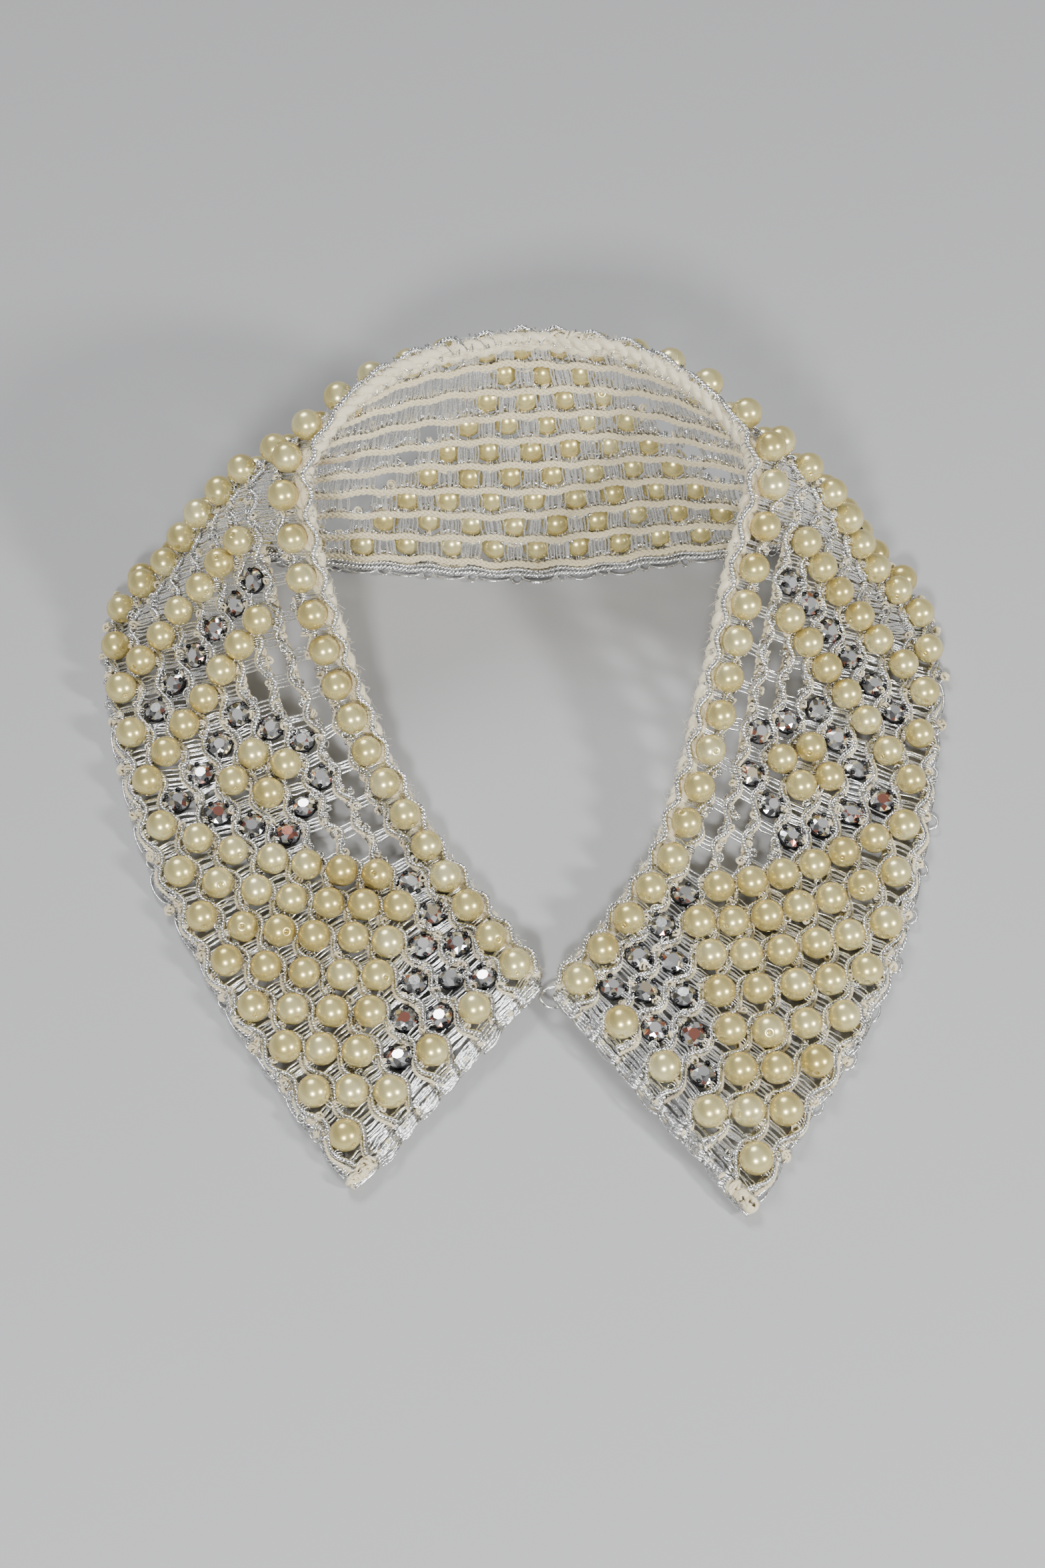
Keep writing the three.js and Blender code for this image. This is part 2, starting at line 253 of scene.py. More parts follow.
def cell_bead(column, row):
    """What a cell holds: "pearl", "stone" or nothing."""
    if (column + row) % 2:
        return None
    wing = from_wing_end(column)
    if row in (0, LAST_ROW) or wing == 0:
        return "pearl"
    backslash = wing + row
    if wing - row <= 6:
        return "stone" if tip_stone(wing, row) else "pearl"
    if backslash in (16, 18, 20, 22):
        return diamond_bead(wing, row)
    if backslash in (24, 28) and row >= 2:
        return "pearl"
    if backslash == 26 and row >= 2:
        return "stone"
    if backslash in (32, 36):
        return "pearl"
    if backslash == 34:
        return "stone"
    return "pearl" if abs(column - BACK_MOTIF_COLUMN) <= row + 1 else None


def open_cell(column, row):
    """Cells that nothing crosses: the ladders on the wings and two diagonals at the back."""
    wing = from_wing_end(column)
    if 1 <= row <= 3 and 9 <= wing <= 25 and cell_bead(column, row) is None:
        return True
    if column + row == 42 and 3 <= row <= 7:
        return True
    return column - row == 48 and 2 <= row <= 5


def stone_group(column, row):
    """The named group of stones that a stone's cell belongs to."""
    wing = from_wing_end(column)
    backslash = wing + row
    if wing - row <= 6:
        return "tip"
    if backslash <= 22:
        return "diamond"
    if backslash == 26:
        return "diagonal"
    return "shoulder" if row >= 5 else "back"


def side_columns(side):
    """The columns of one half of the collar; the middle one belongs to the right."""
    if side == "left":
        return range(0, MIDDLE_COLUMN)
    return range(MIDDLE_COLUMN, LAST_COLUMN + 1)


def side_cells(side):
    """Every cell of one half of the collar, row by row."""
    return [(c, r) for r in range(LAST_ROW + 1) for c in side_columns(side)]


def side_span(side):
    """Where the lace of one half begins and ends, in columns."""
    if side == "left":
        return -LACE_OVERHANG, MIDDLE_COLUMN
    return MIDDLE_COLUMN, LAST_COLUMN + LACE_OVERHANG


# -------------------------------------------------------------- mesh making


class Build:
    """Collects vertices and faces, then makes one Blender mesh."""

    def __init__(self):
        self.points = []
        self.loops = []
        self.sizes = []
        self.tints = []
        self.count = 0

    def add(self, points, blocks, tints=None):
        """Each block is an array of faces with the same number of sides."""
        points = np.asarray(points, float).reshape(-1, 3)
        for i, block in enumerate(blocks):
            self.loops.append((block + self.count).ravel())
            self.sizes.append(np.full(len(block), block.shape[1]))
            if tints is not None:
                self.tints.append(tints[i])
        self.points.append(points)
        self.count += len(points)

    def make(self, name, material, smooth=True):
        points = np.concatenate(self.points)
        loops = np.concatenate(self.loops)
        sizes = np.concatenate(self.sizes)
        mesh = bpy.data.meshes.new(name)
        mesh.vertices.add(len(points))
        mesh.vertices.foreach_set("co", points.ravel())
        mesh.loops.add(len(loops))
        mesh.loops.foreach_set("vertex_index", loops)
        mesh.polygons.add(len(sizes))
        mesh.polygons.foreach_set("loop_start", np.concatenate([[0], np.cumsum(sizes)[:-1]]))
        mesh.polygons.foreach_set("loop_total", sizes)
        mesh.polygons.foreach_set("use_smooth", np.full(len(sizes), smooth))
        # Per-face colours: the stones' painted facet reflections.
        if self.tints:
            layer = mesh.attributes.new("facet", "FLOAT_COLOR", "FACE")
            layer.data.foreach_set("color", np.concatenate(self.tints).ravel())
        mesh.update()
        mesh.validate()
        piece = bpy.data.objects.new(name, mesh)
        bpy.context.scene.collection.objects.link(piece)
        piece.data.materials.append(material)
        return piece


def sweep(build, path, up, radius, sides=5):
    """Tubes with flat ends along paths of shape (tubes, points, 3)."""
    path = np.asarray(path, float)
    if path.ndim == 2:
        path = path[None]
    tubes, length, _ = path.shape
    up = np.broadcast_to(up, path.shape)
    along = unit(np.gradient(path, axis=1))
    side = unit(np.cross(along, up))
    over = np.cross(side, along)
    angle = np.arange(sides) * 2 * math.pi / sides
    radius = np.broadcast_to(np.asarray(radius, float), (tubes, length))[..., None, None]
    ring = np.cos(angle)[:, None] * side[:, :, None] + np.sin(angle)[:, None] * over[:, :, None]
    points = path[:, :, None] + ring * radius
    start = np.arange(tubes)[:, None, None] * length * sides
    here = start + np.arange(length - 1)[:, None] * sides + np.arange(sides)
    after = start + np.arange(length - 1)[:, None] * sides + (np.arange(sides) + 1) % sides
    quads = np.stack([here, after, after + sides, here + sides], axis=-1).reshape(-1, 4)
    first = start[:, 0] + np.arange(sides)[::-1]
    last = start[:, 0] + (length - 1) * sides + np.arange(sides)
    build.add(points, [quads, first, last])


def twisted(build, path, up, strands, strand_radius, twist_radius, pitch, sides=5):
    """A cord of strands twisted round a path."""
    lengths = np.linalg.norm(np.diff(path, axis=0), axis=1)
    run = np.concatenate([[0], np.cumsum(lengths)])
    along = unit(np.gradient(path, axis=0))
    side = unit(np.cross(along, up))
    over = np.cross(side, along)
    for strand in range(strands):
        angle = (2 * math.pi * (run / pitch + strand / strands))[:, None]
        offset = np.cos(angle) * side + np.sin(angle) * over
        sweep(build, path + offset * twist_radius, up, strand_radius, sides)


def plaited(build, path, up, strand_radius, width, pitch, sides=6):
    """A flat plait of three strands, which reads as a row of chain stitches."""
    lengths = np.linalg.norm(np.diff(path, axis=0), axis=1)
    run = np.concatenate([[0], np.cumsum(lengths)])
    along = unit(np.gradient(path, axis=0))
    side = unit(np.cross(along, up))
    over = np.cross(side, along)
    for strand in range(3):
        angle = (2 * math.pi * (run / pitch + strand / 3))[:, None]
        offset = np.sin(angle) * side + 0.45 * np.sin(2 * angle) * over
        sweep(build, path + offset * width, up, strand_radius, sides)


def even_columns(first, last, row, spacing, samples=400):
    """Columns whose points on a row lie a fixed distance apart."""
    coarse = np.linspace(first, last, samples)
    steps = np.linalg.norm(np.diff(surface_point(coarse, row), axis=0), axis=1)
    run = np.concatenate([[0], np.cumsum(steps)])
    wanted = np.linspace(0, run[-1], max(2, int(run[-1] / spacing)))
    return np.interp(wanted, run, coarse)


def axes_from(direction, helper):
    """Rows are a right-handed set of axes whose third is the direction."""
    third = unit(direction)
    first = unit(np.cross(helper, third))
    return np.array([first, np.cross(third, first), third])


# ---------------------------------------------------------------- materials


def new_material(name, colour, metallic, roughness):
    material = bpy.data.materials.new(name)
    material.use_nodes = True
    shader = material.node_tree.nodes["Principled BSDF"]
    shader.inputs["Base Color"].default_value = (*colour, 1)
    shader.inputs["Metallic"].default_value = metallic
    shader.inputs["Roughness"].default_value = roughness
    return material, shader


def noise(material, scale, detail=3.0):
    nodes = material.node_tree.nodes
    texture = nodes.new("ShaderNodeTexNoise")
    place = nodes.new("ShaderNodeTexCoord")
    texture.inputs["Scale"].default_value = scale
    texture.inputs["Detail"].default_value = detail
    material.node_tree.links.new(place.outputs["Object"], texture.inputs["Vector"])
    return texture


def ramp(material, source, stops):
    node = material.node_tree.nodes.new("ShaderNodeValToRGB")
    while len(node.color_ramp.elements) < len(stops):
        node.color_ramp.elements.new(0.5)
    for element, (position, colour) in zip(node.color_ramp.elements, stops):
        element.position = position
        element.color = (*colour, 1)
    material.node_tree.links.new(source, node.inputs["Fac"])
    return node.outputs["Color"]


def bump(material, shader, source, strength, distance):
    node = material.node_tree.nodes.new("ShaderNodeBump")
    node.inputs["Strength"].default_value = strength
    node.inputs["Distance"].default_value = distance
    material.node_tree.links.new(source, node.inputs["Height"])
    material.node_tree.links.new(node.outputs["Normal"], shader.inputs["Normal"])


def roughness_range(material, shader, source, low, high):
    node = material.node_tree.nodes.new("ShaderNodeMapRange")
    node.inputs["To Min"].default_value = low
    node.inputs["To Max"].default_value = high
    material.node_tree.links.new(source, node.inputs["Value"])
    material.node_tree.links.new(node.outputs["Result"], shader.inputs["Roughness"])


def pearl_material():
    """Nacre lacquer: champagne cream, cloudy from bead to bead, clear coat on top."""
    material, shader = new_material("pearl_nacre", (0.75, 0.65, 0.32), 0.6, 0.30)
    cloud = noise(material, 90, 2.0)
    colour = ramp(material, cloud.outputs["Fac"], [
        (0.30, (0.61, 0.49, 0.18)), (0.52, (0.75, 0.65, 0.29)), (0.72, (0.87, 0.80, 0.45)),
    ])
    material.node_tree.links.new(colour, shader.inputs["Base Color"])
    shader.inputs["Specular Tint"].default_value = (0.90, 0.66, 0.34, 1)
    shader.inputs["Coat Weight"].default_value = 0.6
    shader.inputs["Coat Roughness"].default_value = 0.06
    fine = noise(material, 900, 2.0)
    roughness_range(material, shader, fine.outputs["Fac"], 0.22, 0.34)
    bump(material, shader, fine.outputs["Fac"], 0.04, 0.00005)
    return material


def silver_material(name, shade, relief, metallic):
    """Metallic thread: painted glints, white noise spots in the base colour on a darker grey, with
    roughness and bump from the same noise.
    """
    material, shader = new_material(name, (0.9, 0.9, 0.92), metallic, 0.2)
    glitter = noise(material, 1900, 1.0)
    middle = (1 + shade) / 2 + 0.16
    # Painted glints: the noise whitens the base colour in spots.
    colour = ramp(material, glitter.outputs["Fac"], [
        (0.35, (shade, shade, shade)), (0.46, (middle, middle, middle)), (0.56, (1.0, 1.0, 1.0)),
    ])
    material.node_tree.links.new(colour, shader.inputs["Base Color"])
    roughness_range(material, shader, glitter.outputs["Fac"], 0.38, 0.14)
    bump(material, shader, glitter.outputs["Fac"], relief, 0.0002)
    return material


def cream_material(name, light, dark):
    """Spun cotton: matt and fibrous, with faint brown age marks."""
    material, shader = new_material(name, light, 0.0, 0.9)
    stain = noise(material, 55, 4.0)
    colour = ramp(material, stain.outputs["Fac"], [
        (0.24, dark), (0.40, light), (0.75, tuple(min(1.0, c * 1.06) for c in light)),
    ])
    material.node_tree.links.new(colour, shader.inputs["Base Color"])
    shader.inputs["Sheen Weight"].default_value = 0.35
    shader.inputs["Sheen Roughness"].default_value = 0.5
    fibre = noise(material, 3200, 3.0)
    bump(material, shader, fibre.outputs["Fac"], 0.5, 0.00015)
    return material


def stone_material():
    """Foiled glass: each facet's base colour is its own painted reflection."""
    material, shader = new_material("rhinestone_glass", (0.4, 0.4, 0.42), 0.75, 0.08)
    # The base colour is the painted reflection stored for each facet.
    facet = material.node_tree.nodes.new("ShaderNodeAttribute")
    facet.attribute_name = "facet"
    material.node_tree.links.new(facet.outputs["Color"], shader.inputs["Base Color"])
    shader.inputs["Coat Weight"].default_value = 0.8
    shader.inputs["Coat Roughness"].default_value = 0.03
    scratches = noise(material, 1500, 2.0)
    roughness_range(material, shader, scratches.outputs["Fac"], 0.06, 0.20)
    return material


def setting_material():
    """Dark tarnished metal."""
    material, shader = new_material("stone_setting", (0.10, 0.10, 0.11), 1.0, 0.35)
    tarnish = noise(material, 700, 3.0)
    colour = ramp(material, tarnish.outputs["Fac"], [
        (0.35, (0.015, 0.015, 0.017)), (0.75, (0.09, 0.09, 0.10)),
    ])
    material.node_tree.links.new(colour, shader.inputs["Base Color"])
    return material


PEARL = pearl_material()
SILVER = silver_material("silver_thread", 0.42, 0.45, 1.0)
FLOSS = silver_material("silver_floss", 0.84, 0.34, 0.94)
CREAM = cream_material("cream_thread", (0.80, 0.70, 0.47), (0.42, 0.32, 0.18))
YARN = cream_material("cream_yarn", (0.87, 0.78, 0.56), (0.58, 0.47, 0.29))
STONE = stone_material()
SETTING = setting_material()

# ------------------------------------------------------------------- fitting


def finish_piece(piece, side, slot_name, *nodes):
    """A piece has its transform applied and hides the CAD nodes that it stands for; its side and slot
    name are not used.
    """
    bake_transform(piece)
    if nodes:
        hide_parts(*nodes)
    return piece


def both(prefix, side):
    """The CAD nodes of a row or cord that one half of the collar stands for."""
    names = [f"{prefix}_{side}_wing", f"{prefix}_back"]
    return [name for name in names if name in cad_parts]


# -------------------------------------------------------------------- pearls


def pearl_shape(segments=28, rings=16):
    """A bead round its bore: a sphere with a small pit at each end."""
    start = math.asin(BORE_RADIUS / PEARL_RADIUS)
    polar = np.linspace(start, math.pi - start, rings)
    rim = PEARL_RADIUS * math.cos(start)
    pit = [(0.8 * BORE_RADIUS, rim - PIT_DEPTH), (0.96 * BORE_RADIUS, rim - PIT_LIP)]
    profile = pit + [(PEARL_RADIUS * math.sin(a), PEARL_RADIUS * math.cos(a)) for a in polar]
    profile += [(r, -z) for r, z in reversed(pit)]
    turn = np.arange(segments) * 2 * math.pi / segments
    points = [(r * math.cos(a), r * math.sin(a), z) for r, z in profile for a in turn]
    points += [(0, 0, profile[0][1]), (0, 0, -profile[0][1])]
    ring = np.arange(segments)
    after = (ring + 1) % segments
    quads = [
        np.stack([ring, ring + segments, after + segments, after], axis=1) + k * segments
        for k in range(len(profile) - 1)
    ]
    top = np.stack([np.full(segments, len(points) - 2), ring, after], axis=1)
    last = (len(profile) - 1) * segments
    bottom = np.stack([np.full(segments, len(points) - 1), after + last, ring + last], axis=1)
    return np.array(points), [np.concatenate(quads), top, bottom]


def make_pearls():
    """One piece for each row of pearls on each side, every pearl with its own turn and size."""
    points, faces = pearl_shape()
    for side in SIDES:
        for row in range(LAST_ROW + 1):
            cells = [c for c, r in side_cells(side) if r == row and cell_bead(c, r) == "pearl"]
            if not cells:
                continue
            columns = np.array(cells) + dice.normal(0, PEARL_SCATTER, len(cells))
            rows = row + dice.normal(0, PEARL_SCATTER, len(cells))
            heights = dice.normal(0, PEARL_LIFT_SPREAD, len(cells))
            places = raised(columns, rows, heights)
            normals = surface_normal(columns, rows)
            along = unit(surface_point(columns + 0.1, rows) - surface_point(columns - 0.1, rows))
            tilt = dice.normal(0, PEARL_TILT, (len(cells), 3))
            frames = [axes_from(a + t, n) for a, t, n in zip(along, tilt, normals)]
            sizes = 1 + dice.normal(0, PEARL_SIZE_SPREAD, len(cells))
            build = Build()
            for place, axes, size in zip(places, frames, sizes):
                build.add(points @ axes * size + place, faces)
            piece = build.make(f"pearls_row_{row}_{side}", PEARL)
            finish_piece(piece, side, "pearl", *both(f"pearl_row_{row}", side))


# --------------------------------------------------------------- rhinestones

TABLE_RADIUS = 1.12 * MM
TABLE_HEIGHT = 0.98 * MM
CROWN_RADIUS = 1.72 * MM
CROWN_HEIGHT = 0.66 * MM
GIRDLE_RADIUS = 2.38 * MM
GIRDLE_TOP = 0.16 * MM
GIRDLE_BOTTOM = -0.12 * MM
CULET_HEIGHT = -1.2 * MM
CUP_RIM_RADIUS = 2.56 * MM

# The cup's outline in millimetres: radius and height, from the underside round
# the rim and back down the inside.
CUP_OUTLINE = [
    (0.3, -1.45), (2.1, -1.45), (2.54, -0.7), (2.56, 0.0), (2.48, 0.08), (2.4, 0.0),
    (2.3, -0.6), (0.3, -1.25),
]

# Painted reflections: the colours of the few facets that flash red-brown or warm.
PAINTED_RED_BROWN_FLASH = (0.36, 0.14, 0.10)
PAINTED_WARM_FLASH = (1.0, 0.88, 0.62)


def stone_shape():
    """A round brilliant: table, stars, kites, upper girdle facets and pavilion."""
    def circle(radius, z, count, offset=0.0):
        turn = [(k + offset) * 2 * math.pi / count for k in range(count)]
        return [(radius * math.cos(a), radius * math.sin(a), z) for a in turn]

    points = circle(TABLE_RADIUS, TABLE_HEIGHT, 8)
    points += circle(CROWN_RADIUS, CROWN_HEIGHT, 8, 0.5)
    points += circle(GIRDLE_RADIUS, GIRDLE_TOP, 16)
    points += circle(GIRDLE_RADIUS, GIRDLE_BOTTOM, 16)
    points += [(0, 0, CULET_HEIGHT)]
    crown, girdle, under, culet = 8, 16, 32, 48
    k = np.arange(8)
    j = np.arange(16)
    table = k[None]
    stars = np.stack([k, crown + k, (k + 1) % 8], axis=1)
    kites = np.stack([k, crown + (k - 1) % 8, girdle + 2 * k, crown + k], axis=1)
    left = np.stack([crown + k, girdle + 2 * k, girdle + 2 * k + 1], axis=1)
    right = np.stack([crown + k, girdle + 2 * k + 1, girdle + (2 * k + 2) % 16], axis=1)
    band = np.stack([girdle + j, under + j, under + (j + 1) % 16, girdle + (j + 1) % 16], axis=1)
    pavilion = np.stack([under + j, np.full(16, culet), under + (j + 1) % 16], axis=1)
    return np.array(points), [table, stars, kites, left, right, band, pavilion]


def setting_shape(count=24):
    """A round cup that holds the stone's girdle."""
    turn = np.arange(count) * 2 * math.pi / count
    rings = np.array(CUP_OUTLINE) * MM
    points = np.concatenate([
        np.stack([r * np.cos(turn), r * np.sin(turn), np.full(count, z)], axis=1) for r, z in rings
    ])
    ring = np.arange(count)
    after = (ring + 1) % count
    quads = []
    for k in range(len(rings)):
        low = k * count
        high = ((k + 1) % len(rings)) * count
        quads.append(np.stack([low + ring, low + after, high + after, high + ring], axis=1))
    return points, [np.concatenate(quads)]


def prongs(build, place, axes):
    """Four short claws whose round heads press on the stone's edge."""
    t = np.linspace(0, 1, 9)
    reach = CUP_RIM_RADIUS - 0.62 * t**2 * MM
    rise = (-0.6 + 1.25 * np.sin(t * math.pi / 2)) * MM
    head = np.sqrt(np.maximum(0, 1 - ((t - 0.78) / 0.26) ** 2))
    width = np.maximum(0.24 * (1 - t), 0.54 * head) * MM + 0.03 * MM
    for quarter in range(4):
        angle = (quarter + 0.5) * math.pi / 2 + dice.normal(0, 0.12)
        flat = np.cos(angle) * axes[0] + np.sin(angle) * axes[1]
        path = place + reach[:, None] * flat + rise[:, None] * axes[2]
        helper = np.cross(axes[2], flat)
        sweep(build, path, helper, width, 9)


def painted_facet_reflections(blocks):
    """A painted reflection for every facet: the table a bright painted highlight, the rest mixed
    greys, a few red-brown or warm painted flashes.
    """
    shades = []
    for i, block in enumerate(blocks):
        value = 0.10 + 0.85 * dice.random(len(block)) ** 1.5
        if i == 0:
            value = 0.55 + 0.45 * dice.random(len(block))
        tint = np.ones((len(block), 4)) * value[:, None]
        pick = dice.random(len(block))
        tint[pick < 0.10, :3] = PAINTED_RED_BROWN_FLASH
        tint[pick > 0.90, :3] *= PAINTED_WARM_FLASH
        tint[:, 3] = 1
        shades.append(tint)
    return shades


def make_stones():
    """One piece of glass and one of settings for each group of stones on each side."""
    points, faces = stone_shape()
    cup_points, cup_faces = setting_shape()
    for side in SIDES:
        for group in ("tip", "diamond", "diagonal", "shoulder", "back"):
            cells = [
                (c, r) for c, r in side_cells(side)
                if cell_bead(c, r) == "stone" and stone_group(c, r) == group
            ]
            columns = np.array([c for c, _ in cells]) + dice.normal(0, STONE_SCATTER, len(cells))
            rows = np.array([r for _, r in cells]) + dice.normal(0, STONE_SCATTER, len(cells))
            heights = STONE_HEIGHT + dice.normal(0, STONE_LIFT_SPREAD, len(cells))
            places = raised(columns, rows, heights)
            tilt = dice.normal(0, STONE_TILT, (len(cells), 3))
            normals = surface_normal(columns, rows) + tilt
            spin = dice.normal(0, 1, (len(cells), 3))
            glass = Build()
            cups = Build()
            for place, normal, turn in zip(places, normals, spin):
                axes = axes_from(normal, turn)
                # Every facet gets a painted reflection as its colour.
                glass.add(points @ axes + place, faces, painted_facet_reflections(faces))
                cups.add(cup_points @ axes + place, cup_faces)
                prongs(cups, place, axes)
            piece = glass.make(f"stones_{group}_{side}", STONE, smooth=False)
            finish_piece(piece, side, "rhinestone", f"stones_{group}_{side}")
            cup = cups.make(f"stone_settings_{group}_{side}", SETTING)
            finish_piece(cup, side, "rhinestone")


# ---------------------------------------------------------------- lace net


def weft_threads(build, column, row, threads, width, reach=0.56):
    """One bundle of silver threads that crosses a cell from chain to chain."""
    count = 6
    t = np.linspace(-1, 1, count)
    skew = dice.normal(0, 0.05)
    spread = (np.arange(threads) - (threads - 1) / 2) / max(threads - 1, 1)
    spread = spread + dice.normal(0, 0.05, threads)
    pinch = 1 - 0.20 * t**2
    columns = column + width * spread[:, None] * pinch + skew * t
    columns = columns + dice.normal(0, 0.02, (threads, count))
    bow = dice.normal(0, 0.22, threads)[:, None] * (1 - t**2)
    heights = WEFT_HEIGHT + (0.35 * t**2 + bow + 0.25 * (1 - t**2)) * MM
    outward = EDGE_ROW - 0.1 - row if row == LAST_ROW else reach
    rows = row + np.where(t < 0, t * reach, t * outward)
    path = raised(columns, np.broadcast_to(rows, columns.shape), heights)
    up = surface_normal(columns, np.broadcast_to(rows, columns.shape))
    sweep(build, path, up, WEFT_RADIUS, 5)


def make_weft():
    """The silver bundles between the beads; the ladder cells have only a few threads."""
    for side in SIDES:
        build = Build()
        for row in range(LAST_ROW + 1):
            for column in side_columns(side):
                wing = from_wing_end(column)
                odd = (column + row) % 2 != 0
                ladder = 1 <= row <= 3 and 8 <= wing <= 26
                if odd and ladder:
                    weft_threads(build, column, row, **LADDER_BUNDLE)
                elif odd:
                    weft_threads(build, column, row, **CHAIN_BUNDLE)
                elif not open_cell(column, row) and cell_bead(column, row) is None:
                    weft_threads(build, column, row, **OPEN_BUNDLE)
        piece = build.make(f"weft_bundles_{side}", FLOSS)
        finish_piece(piece, side, "silver_thread", *both("lace", side))


def chain_path(first, last, row, height, spacing, wave=0.0, phase=0, seed=0.0):
    """A lengthwise path that may weave round the beads on either side of it."""
    columns = even_columns(first, last, min(max(row, 0), LAST_ROW), spacing)
    weave = wave * np.cos(math.pi * (columns - phase))
    rows = row + weave + wobble(columns, seed, 0.065)
    heights = height + wobble(columns, seed + 3, 0.18 * MM)
    return raised(columns, rows, heights), surface_normal(columns, rows), columns


def make_chains():
    """Between two rows: a plaited chain, a thin thread, a weaving gimp, wraps and knots."""
    for side in SIDES:
        first, last = side_span(side)
        plait = Build()
        cream = Build()
        gimp = Build()
        wraps = Build()
        for row in range(LAST_ROW + 1):
            middle = row + 0.5
            path, up, _ = chain_path(first, last, middle, CHAIN_HEIGHT, 0.38 * MM, 0.05, row, row)
            plaited(plait, path, up, **PLAIT)
            beside = middle + 0.11
            height = CHAIN_HEIGHT + THIN_THREAD_LIFT
            path, up, _ = chain_path(first, last, beside, height, 0.4 * MM, 0.15, row, row + 5)
            twisted(cream, path, up, **THIN_THREAD)
            beside = middle - 0.03
            path, up, _ = chain_path(first, last, beside, GIMP_HEIGHT, 0.32 * MM, 0.20, row, row + 9)
            twisted(gimp, path, up, **GIMP)
            chain_wraps(wraps, side, middle, row)
            chain_knots(wraps, cream, side, middle)
        finish_piece(plait.make(f"cream_chains_{side}", CREAM), side, "lace")
        finish_piece(cream.make(f"cream_threads_{side}", CREAM), side, "lace")
        finish_piece(gimp.make(f"silver_gimp_{side}", SILVER), side, "silver_thread")
        finish_piece(wraps.make(f"chain_wraps_{side}", SILVER), side, "silver_thread")


def chain_wraps(build, side, row, seed):
    """Silver thread wound a few turns round a chain at every crossing."""
    columns = np.array(side_columns(side))
    columns = columns + dice.normal(0, 0.08, len(columns))
    t = np.linspace(-0.5, 0.5, 19)
    centre = columns[:, None] + 0.26 * t
    rows = np.full(centre.shape, row) + wobble(centre, seed, 0.035)
    spine = raised(centre, rows, CHAIN_HEIGHT + WRAP_LIFT)
    up = surface_normal(centre, rows)
    along = unit(np.gradient(spine, axis=1))
    across = unit(np.cross(along, up))
    angle = (2 * math.pi * WRAP_TURNS * t)[None, :] + dice.random(len(columns))[:, None] * 6
    wide = WRAP_WIDTH * (1 + dice.normal(0, 0.12, len(columns)))[:, None, None]
    offset = np.cos(angle)[..., None] * across + 1.25 * np.sin(angle)[..., None] * up
    path = spine + offset * wide
    path[..., 2] = np.maximum(path[..., 2], FLOOR_CLEARANCE)
    sweep(build, path, up, WRAP_THREAD_RADIUS, 4)


def chain_knots(silver, cream, side, row):
    """Small loops of loose thread that crowd each crossing on the face."""
    for column in side_columns(side):
        shift = dice.normal(0, 0.12, 2)
        place = raised(column + 0.5 + shift[0], row + shift[1], KNOT_HEIGHT)
        tangle(silver, place, **SILVER_KNOT)
        place = raised(column + shift[1], row - shift[0], CREAM_KNOT_HEIGHT)
        tangle(cream, place, **CREAM_KNOT)


def tangle(build, centre, size, loops, thickness, points=18, sides=6):
    """A knot: loops of thread at every slant round one point."""
    t = np.linspace(0, 1.9 * math.pi, points)
    for _ in range(loops):
        axes = axes_from(dice.normal(0, 1, 3), dice.normal(0, 1, 3))
        radius = size * (0.55 + 0.45 * dice.random())
        circle = np.cos(t)[:, None] * axes[0] + np.sin(t)[:, None] * axes[1]
        path = centre + circle * radius + axes[2] * size * 0.3 * np.sin(2 * t)[:, None]
        path[:, 2] = np.maximum(path[:, 2], FLOOR_CLEARANCE)
        sweep(build, path, np.broadcast_to(axes[2], path.shape), thickness, sides)


# ------------------------------------------------------------- edges and rim


def edge_path(columns, rows, lift):
    """A path beside the outer row, lying on the surface that the collar stands on."""
    path = raised(columns, rows, np.full(columns.shape, EDGE_HEIGHT))
    path[:, 2] = lift
    return path


def make_outer_edge():
    """The cord and gimp along the outer edge, with its picots and knots."""
    for side in SIDES:
        first, last = side_span(side)
        columns = even_columns(first, last, LAST_ROW, 0.32 * MM)
        build = Build()
        rows = EDGE_ROW - 0.08 + 0.10 * np.cos(math.pi * columns) + wobble(columns, 4, 0.04)
        twisted(build, edge_path(columns, rows, EDGE_LIFT), UPWARD, **EDGE_CORD)
        rows = EDGE_ROW - 0.20 + 0.17 * np.cos(math.pi * columns) + wobble(columns, 8, 0.04)
        twisted(build, edge_path(columns, rows, EDGE_LIFT + EDGE_GIMP_LIFT), UPWARD, **EDGE_GIMP)
        make_picots(build, side)
        piece = build.make(f"outer_edge_cord_{side}", SILVER)
        finish_piece(piece, side, "silver_thread", *both("outer_edge_cord", side))
        knots = Build()
        for column in range(math.ceil(first), math.floor(last) + 1):
            if column % 2:
                shift = dice.normal(0, 0.1, 2)
                place = surface_point(column + shift[0], EDGE_ROW - 0.12 + shift[1])
                place[2] = (1.5 + 0.5 * dice.random()) * MM
                tangle(knots, place, **EDGE_KNOT)
        finish_piece(knots.make(f"edge_knots_{side}", CREAM), side, "yarn")


def make_picots(build, side):
    """Thin scallops round every edge pearl, and small loops between the pearls."""
    first, last = side_span(side)
    t = np.linspace(0, 1, 15)
    loop = 0.17 if side == "left" else 0.26
    for column in range(math.ceil(first), math.floor(last) + 1):
        wide = (0.30 if column % 2 else 0.78) + dice.normal(0, 0.05)
        out = (loop if column % 2 else 0.19) + dice.normal(0, 0.05)
        columns = column + wide * np.cos(math.pi * (1 - t))
        rows = EDGE_ROW - 0.05 + out * np.sin(math.pi * t)
        path = edge_path(columns, rows, EDGE_LIFT)
        path[:, 2] += (0.9 * dice.random() * np.sin(math.pi * t)) * MM
        wing = from_wing_end(column)
        splay = min(1.0, max(0.0, (wing - 26) / 6)) * PICOT_SPLAY
        inward = surface_normal(columns, np.full(columns.shape, LAST_ROW)) * (-1, -1, 0)
        path += inward * (splay * np.sin(math.pi * t))[:, None]
        sweep(build, path, UPWARD, PICOT_RADIUS, 5)


